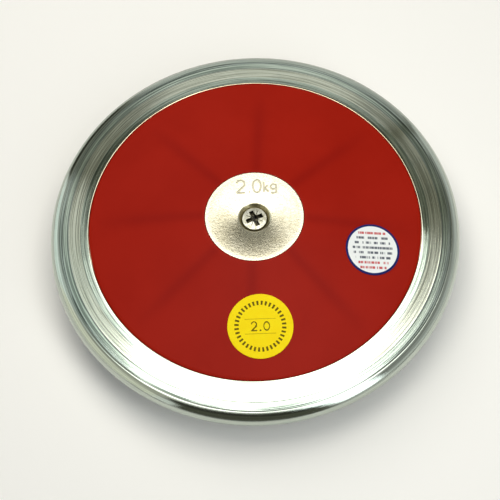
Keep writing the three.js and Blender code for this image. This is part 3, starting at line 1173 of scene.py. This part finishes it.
def white_material():
    """White vinyl with a blue border and rows of short coloured dashes."""
    material, s = new_material("white_vinyl")
    x, y, radius, _ = label_place(s)
    row = s.over(s.minus(ROWS_TOP, y), ROW_HEIGHT)
    number = s.calculate("FLOOR", row)
    line = s.band(s.calculate("FRACT", row), *LINE_SHARES)
    words = s.ramp(row_noise(s, x, number, along=0.42, between=7.3), 0.4, 0.44)
    strokes = s.ramp(row_noise(s, x, number, along=1.9, between=3.1), 0.36, 0.5, 0.25, 1)
    rows_away = s.size(s.minus(number, LONGEST_ROW))
    row_reach = s.minus(LONGEST_REACH, s.times(rows_away, REACH_LOSS))
    inside = s.ramp(s.minus(row_reach, s.size(x)), 0, REACH_SOFTNESS)
    rows = s.band(row, 0, ROW_COUNT, ROW_SOFTNESS)
    ink = s.times(line, words, inside, rows, strokes)
    red_row = s.most(s.ramp(number, 0.4, 0.6, 1, 0), s.ramp(number, 5.4, 5.6))
    colour = s.mix(red_row, (44, 56, 74), (196, 34, 34))
    base = s.mix(s.times(ink, 0.9), (243, 245, 242), colour)
    base = s.mix(s.ramp(radius, *BORDER), base, (24, 36, 98))
    vinyl(s, base)
    return material


# The pieces on the frame


def dress(piece, node, material):
    piece.data.materials.clear()
    piece.data.materials.append(material)
    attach(piece, "root")
    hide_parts(node)


def dress_node(node, material):
    mesh = frame["nodes"][node].data
    mesh.materials.clear()
    mesh.materials.append(material)


zinc = zinc_material()
red = red_material()
nickel = nickel_material()
screw_plate = screw_material()
steel = steel_material()
mouth = mouth_shade_material()
recess = recess_residue_and_shade_material()

dress(make_rim(), "rim", zinc)
side_plate = make_side_plate()
dress(other_side(side_plate, "rear_side_cover"), "rear_side_plate", red)
dress(side_plate, "front_side_plate", red)
front_centre = turned("front_centre_cap", centre_outline(), CENTRE_SEGMENTS)
rear_centre = other_side(front_centre, "rear_centre_cap")
dress(rear_centre, "rear_centre_plate", nickel)
engrave(front_centre)
dress(front_centre, "front_centre_plate", nickel)
further_material(front_centre, mark_material(), in_mark)
# painted shade in the countersinks round the screws
further_material(front_centre, mouth, in_mouth)
further_material(rear_centre, mouth, in_mouth)
screw = make_screw()
rear_screw = other_side(screw, "rear_screw_fastener")
dress(rear_screw, "rear_screw", screw_plate)
dress(screw, "front_screw", screw_plate)
# painted shade, with some plating residue, deep in the screws' recesses
further_material(rear_screw, recess, in_recess)
further_material(screw, recess, in_recess)
yellow = wrapped("yellow_label_print", YELLOW_RADIUS, node_centre("yellow_label"))
dress(yellow, "yellow_label", yellow_material())
white = wrapped("white_label_print", WHITE_RADIUS, node_centre("white_label"))
dress(white, "white_label", white_material())
for hidden in ("coupling_nut", "trim_washer_1", "trim_washer_2", "trim_washer_3"):
    dress_node(hidden, steel)


# Floor and lamps

BACKGROUND = 246, 245, 239
PAPER = 244, 241, 233
FLOOR_TINT = 0.84, 0.89, 0.93, 1
WARM, PALE, COOL = (1, 0.985, 0.945), (1, 0.99, 0.96), (0.9, 0.96, 1)

# Painted shade on the floor that the metal mirrors, seen only in reflections: dark in front of
# the discus and dimmer behind it
FRONT_MIRRORED_SHADE = -0.31, -0.18, 0.88, 0
BACK_MIRRORED_SHADE = 0.05, 0.13, 0, 0.2

# Each lamp's place, width and depth in metres, and its radiance
OVERHEAD = (0.02, 0.117, 0.7225), (0.56, 0.55), 2.52
OVERHEAD_EDGE = (0.015, -0.035, 0.73), (0.73, 0.69), 0.8
SIDE_BOX = (0.428, -0.51, 0.54), (0.3, 0.9), 2.4
BACK_FILL = (-0.35, 0.7, 0.8), (0.6, 0.6), 2.6


def make_floor():
    """A wide sheet of paper that fades into the background, clear from below."""
    level = -MIDDLE / MM
    floor = turned("floor", [(0, level), (FLOOR_RADIUS / MM, level)], FLOOR_SEGMENTS)
    floor.data.flip_normals()
    material, s = new_material("floor_paper")
    path = s.add("ShaderNodeLightPath").outputs
    place = s.point()
    _, away, _ = s.parts(place)
    # painted shade on the floor, seen only in the metal's reflections
    far = s.most(s.ramp(away, *FRONT_MIRRORED_SHADE), s.ramp(away, *BACK_MIRRORED_SHADE))
    mirrored_shade = s.times(far, path["Is Glossy Ray"])
    paper = s.add("ShaderNodeBsdfDiffuse", Color=s.mix(mirrored_shade, PAPER, BLACK))
    seen = s.most(path["Is Camera Ray"], path["Is Glossy Ray"])
    tint = s.mix(mirrored_shade, FLOOR_TINT, BLACK)
    glow = s.add("ShaderNodeEmission", Color=tint, Strength=s.times(seen, FLOOR_GLOW))
    lit = s.add("ShaderNodeAddShader")
    s.plug(lit.inputs[0], paper.outputs[0])
    s.plug(lit.inputs[1], glow.outputs[0])
    distance = s.add("ShaderNodeVectorMath", {"operation": "LENGTH"}, Vector=place).outputs["Value"]
    fade = s.times(s.ramp(distance, *FLOOR_FADE), path["Is Camera Ray"])
    haze = s.add("ShaderNodeEmission", Color=BACKGROUND, Strength=1)
    faded = s.either(fade, lit.outputs[0], haze.outputs[0])
    clear = s.add("ShaderNodeBsdfTransparent")
    behind = s.add("ShaderNodeNewGeometry").outputs["Backfacing"]
    s.close("ShaderNodeOutputMaterial", s.either(behind, faded, clear.outputs[0]))
    floor.data.materials.append(material)


def area_lamp(name, lamp_values, colour, target=None, turn=0):
    """A soft box: a rectangle of even brightness that faces the target, or else straight down,
    and is turned in its plane."""
    place, size, radiance = lamp_values
    lamp = bpy.data.lights.new(name, "AREA")
    lamp.shape = "RECTANGLE"
    lamp.size, lamp.size_y = size
    lamp.energy = radiance * math.pi * size[0] * size[1]
    lamp.color = colour
    holder = placed(name, lamp)
    holder.location = place
    holder.visible_camera = False
    back = (Vector(place) - Vector(target)).normalized() if target else Vector((0, 0, 1))
    holder.rotation_mode = "QUATERNION"
    holder.rotation_quaternion = back.to_track_quat("Z", "Y") @ Quaternion((0, 0, 1), turn)
    return holder


def make_lamps():
    middle = (0, 0, MIDDLE)
    area_lamp("overhead_box", OVERHEAD, WARM, turn=BOX_TURN)
    area_lamp("overhead_edge", OVERHEAD_EDGE, PALE)
    area_lamp("side_box", SIDE_BOX, COOL, middle)
    fill = area_lamp("back_fill", BACK_FILL, WARM, middle)
    fill.visible_glossy = False


# The studio that the metal mirrors. Zeniths run in degrees down from straight overhead, and
# bearings in degrees round from the front, above 0 to the right and below 0 to the left. A line
# of four holds where a change starts and ends, and what there is at its start and at its end. A
# span of three holds its start, its end and the softness of both.

# Brightness and darkness over the zenith
BACK_WALL = 40, 50, 0.1, 0.67
BACK_WALL_RISE = 56, 82, 0, 0.04
RIGHT_WALL = 24, 42, 0.46, 0.33
RIGHT_WALL_RISE = 46, 88, 0, 0.49
CORNER = 38, 64, 0.13, 0.72
FRONT_GAP = 88.5, 91.5, 0.86, 0
FRONT_GAP_TOP = 22, 44
BACK_GAP_STEPS = (36, 44, 0, 0.5), (50, 58, 0, 0.3), (61, 68, 0, 0.14)

# Bearings that change with the zenith
SLIT = 20, 64, 172, 147.5
LEFT_WALL_FRONT = 29, 70, -48, -35.5
LEFT_WALL_BACK = 44, 66, -146, -136
BACK_GAP_START = 56, 68, -160, -158
BACK_GAP_EDGE = 58, 70, -12, -6
BACK_GAP_EDGE_END = 4

# Brightness over the bearing, and over the degrees beside the slit or a wall's end
LEFT_WALL_FADE = -112, -92, 1, 0.8
RIGHT_WALL_SPAN = 35, 135, 4
CORNER_START = 129, 137
FRONT_GAP_END = 26, 34, 1, 0
SLIT_DARK = 0.8, 2.4, 0.5, 0
SLIT_SHADE = 2, 18, 0.3, 0
WALL_EDGE, GAP_EDGE = 1.5, 2

# Brightness over how far a direction goes aside for its rise, and the least rise that counts
LEFT_WALL = -1.2, -1.02, 1.22, 0.64
LOWEST_RISE = 0.02

# Faint tints of the studio, and the bearings and levels that have them
PLAIN, GREENISH = (0.98, 1, 0.96, 1), (0.92, 1, 0.97, 1)
YELLOWISH, YELLOW_DARK = (1, 0.99, 0.84, 1), (1, 1, 0.74, 1)
GREENISH_SPAN = -133, -101, 4
YELLOWISH_SPAN = -101, -45, 4
DARK_LEVELS = 0.08, 0.4, 1, 0

AMBIENT, AMBIENT_STRENGTH = (0.9, 0.95, 1, 1), 0.08


def studio_level(s, direction):
    """How bright the studio is in a direction, and the direction's bearing."""
    x, y, z = s.parts(direction)
    zenith = s.times(s.calculate("ARCCOSINE", z), math.degrees(1))
    bearing = s.times(s.calculate("ARCTAN2", x, s.times(y, -1)), math.degrees(1))
    aside = s.over(x, s.most(z, LOWEST_RISE))

    def before(past, edge):
        return s.ramp(past, -edge, edge, 1, 0)

    def after(past, edge):
        return s.ramp(past, -edge, edge)

    # each wall's brightness, from overhead down to the floor
    past_slit = s.minus(bearing, s.ramp(zenith, *SLIT))
    past_left = s.minus(bearing, s.ramp(zenith, *LEFT_WALL_FRONT))
    past_gap = s.minus(bearing, s.ramp(zenith, *LEFT_WALL_BACK))
    back = s.plus(s.ramp(zenith, *BACK_WALL), s.ramp(zenith, *BACK_WALL_RISE))
    back = s.times(back, s.minus(1, s.ramp(s.size(past_slit), *SLIT_SHADE)))
    left = s.times(s.ramp(aside, *LEFT_WALL), s.ramp(bearing, *LEFT_WALL_FADE))
    right = s.plus(s.ramp(zenith, *RIGHT_WALL), s.ramp(zenith, *RIGHT_WALL_RISE))
    on_left = s.times(after(past_gap, GAP_EDGE), before(past_left, WALL_EDGE))
    in_corner = s.times(s.ramp(bearing, *CORNER_START), before(past_slit, WALL_EDGE))
    level = s.blend(on_left, back, left)
    level = s.blend(in_corner, level, s.ramp(zenith, *CORNER))
    level = s.blend(s.band(bearing, *RIGHT_WALL_SPAN), level, right)

    # dark gaps at the front and the back
    in_front = s.times(after(past_left, WALL_EDGE), s.ramp(bearing, *FRONT_GAP_END))
    front_gap = s.times(in_front, s.ramp(zenith, *FRONT_GAP), s.ramp(zenith, *FRONT_GAP_TOP))
    gap_start = s.minus(bearing, s.ramp(zenith, *BACK_GAP_START))
    gap_rise = s.ramp(gap_start, s.ramp(zenith, *BACK_GAP_EDGE), BACK_GAP_EDGE_END)
    depth = s.plus(*(s.ramp(zenith, *step) for step in BACK_GAP_STEPS))
    back_gap = s.times(gap_rise, before(past_gap, GAP_EDGE), depth)
    slit = s.ramp(s.size(past_slit), *SLIT_DARK)
    gaps = s.most(front_gap, back_gap, slit)
    return s.times(level, s.minus(1, gaps)), bearing


def make_world():
    """A studio for reflections: grey walls round the discus, with dark gaps between them. The
    camera sees the background, and other light comes faintly from all round."""
    world = bpy.data.worlds.new("studio")
    bpy.context.scene.world = world
    s = Shader(world)
    level, bearing = studio_level(s, s.add("ShaderNodeTexCoord").outputs["Generated"])
    tint = s.mix(s.band(bearing, *GREENISH_SPAN), PLAIN, GREENISH)
    tint = s.mix(s.band(bearing, *YELLOWISH_SPAN), tint, YELLOWISH)
    tint = s.mix(s.ramp(level, *DARK_LEVELS), tint, YELLOW_DARK)
    path = s.add("ShaderNodeLightPath").outputs
    seen = s.add("ShaderNodeBackground", Color=BACKGROUND, Strength=1)
    ambient = s.add("ShaderNodeBackground", Color=AMBIENT, Strength=AMBIENT_STRENGTH)
    glossy = s.add("ShaderNodeBackground", Color=tint, Strength=level)
    unseen = s.either(path["Is Glossy Ray"], ambient.outputs[0], glossy.outputs[0])
    s.close("ShaderNodeOutputWorld", s.either(path["Is Camera Ray"], unseen, seen.outputs[0]))


def make_camera():
    camera = bpy.data.cameras.new("camera")
    camera.lens = CAMERA_LENS
    holder = placed("camera", camera)
    back = Vector((0, -math.cos(CAMERA_ELEVATION), math.sin(CAMERA_ELEVATION)))
    look = back.to_track_quat("Z", "Y").to_matrix()
    turn = Matrix.Rotation(-CAMERA_YAW, 3, "Y") @ Matrix.Rotation(CAMERA_PITCH, 3, "X")
    turn = look @ turn @ Matrix.Rotation(-CAMERA_ROLL, 3, "Z")
    place = back * CAMERA_DISTANCE + Vector((0, 0, MIDDLE))
    holder.matrix_world = Matrix.Translation(place) @ turn.to_4x4()
    bpy.context.scene.camera = holder


make_floor()
make_lamps()
make_world()
make_camera()
bpy.context.scene.view_settings.view_transform = "Standard"
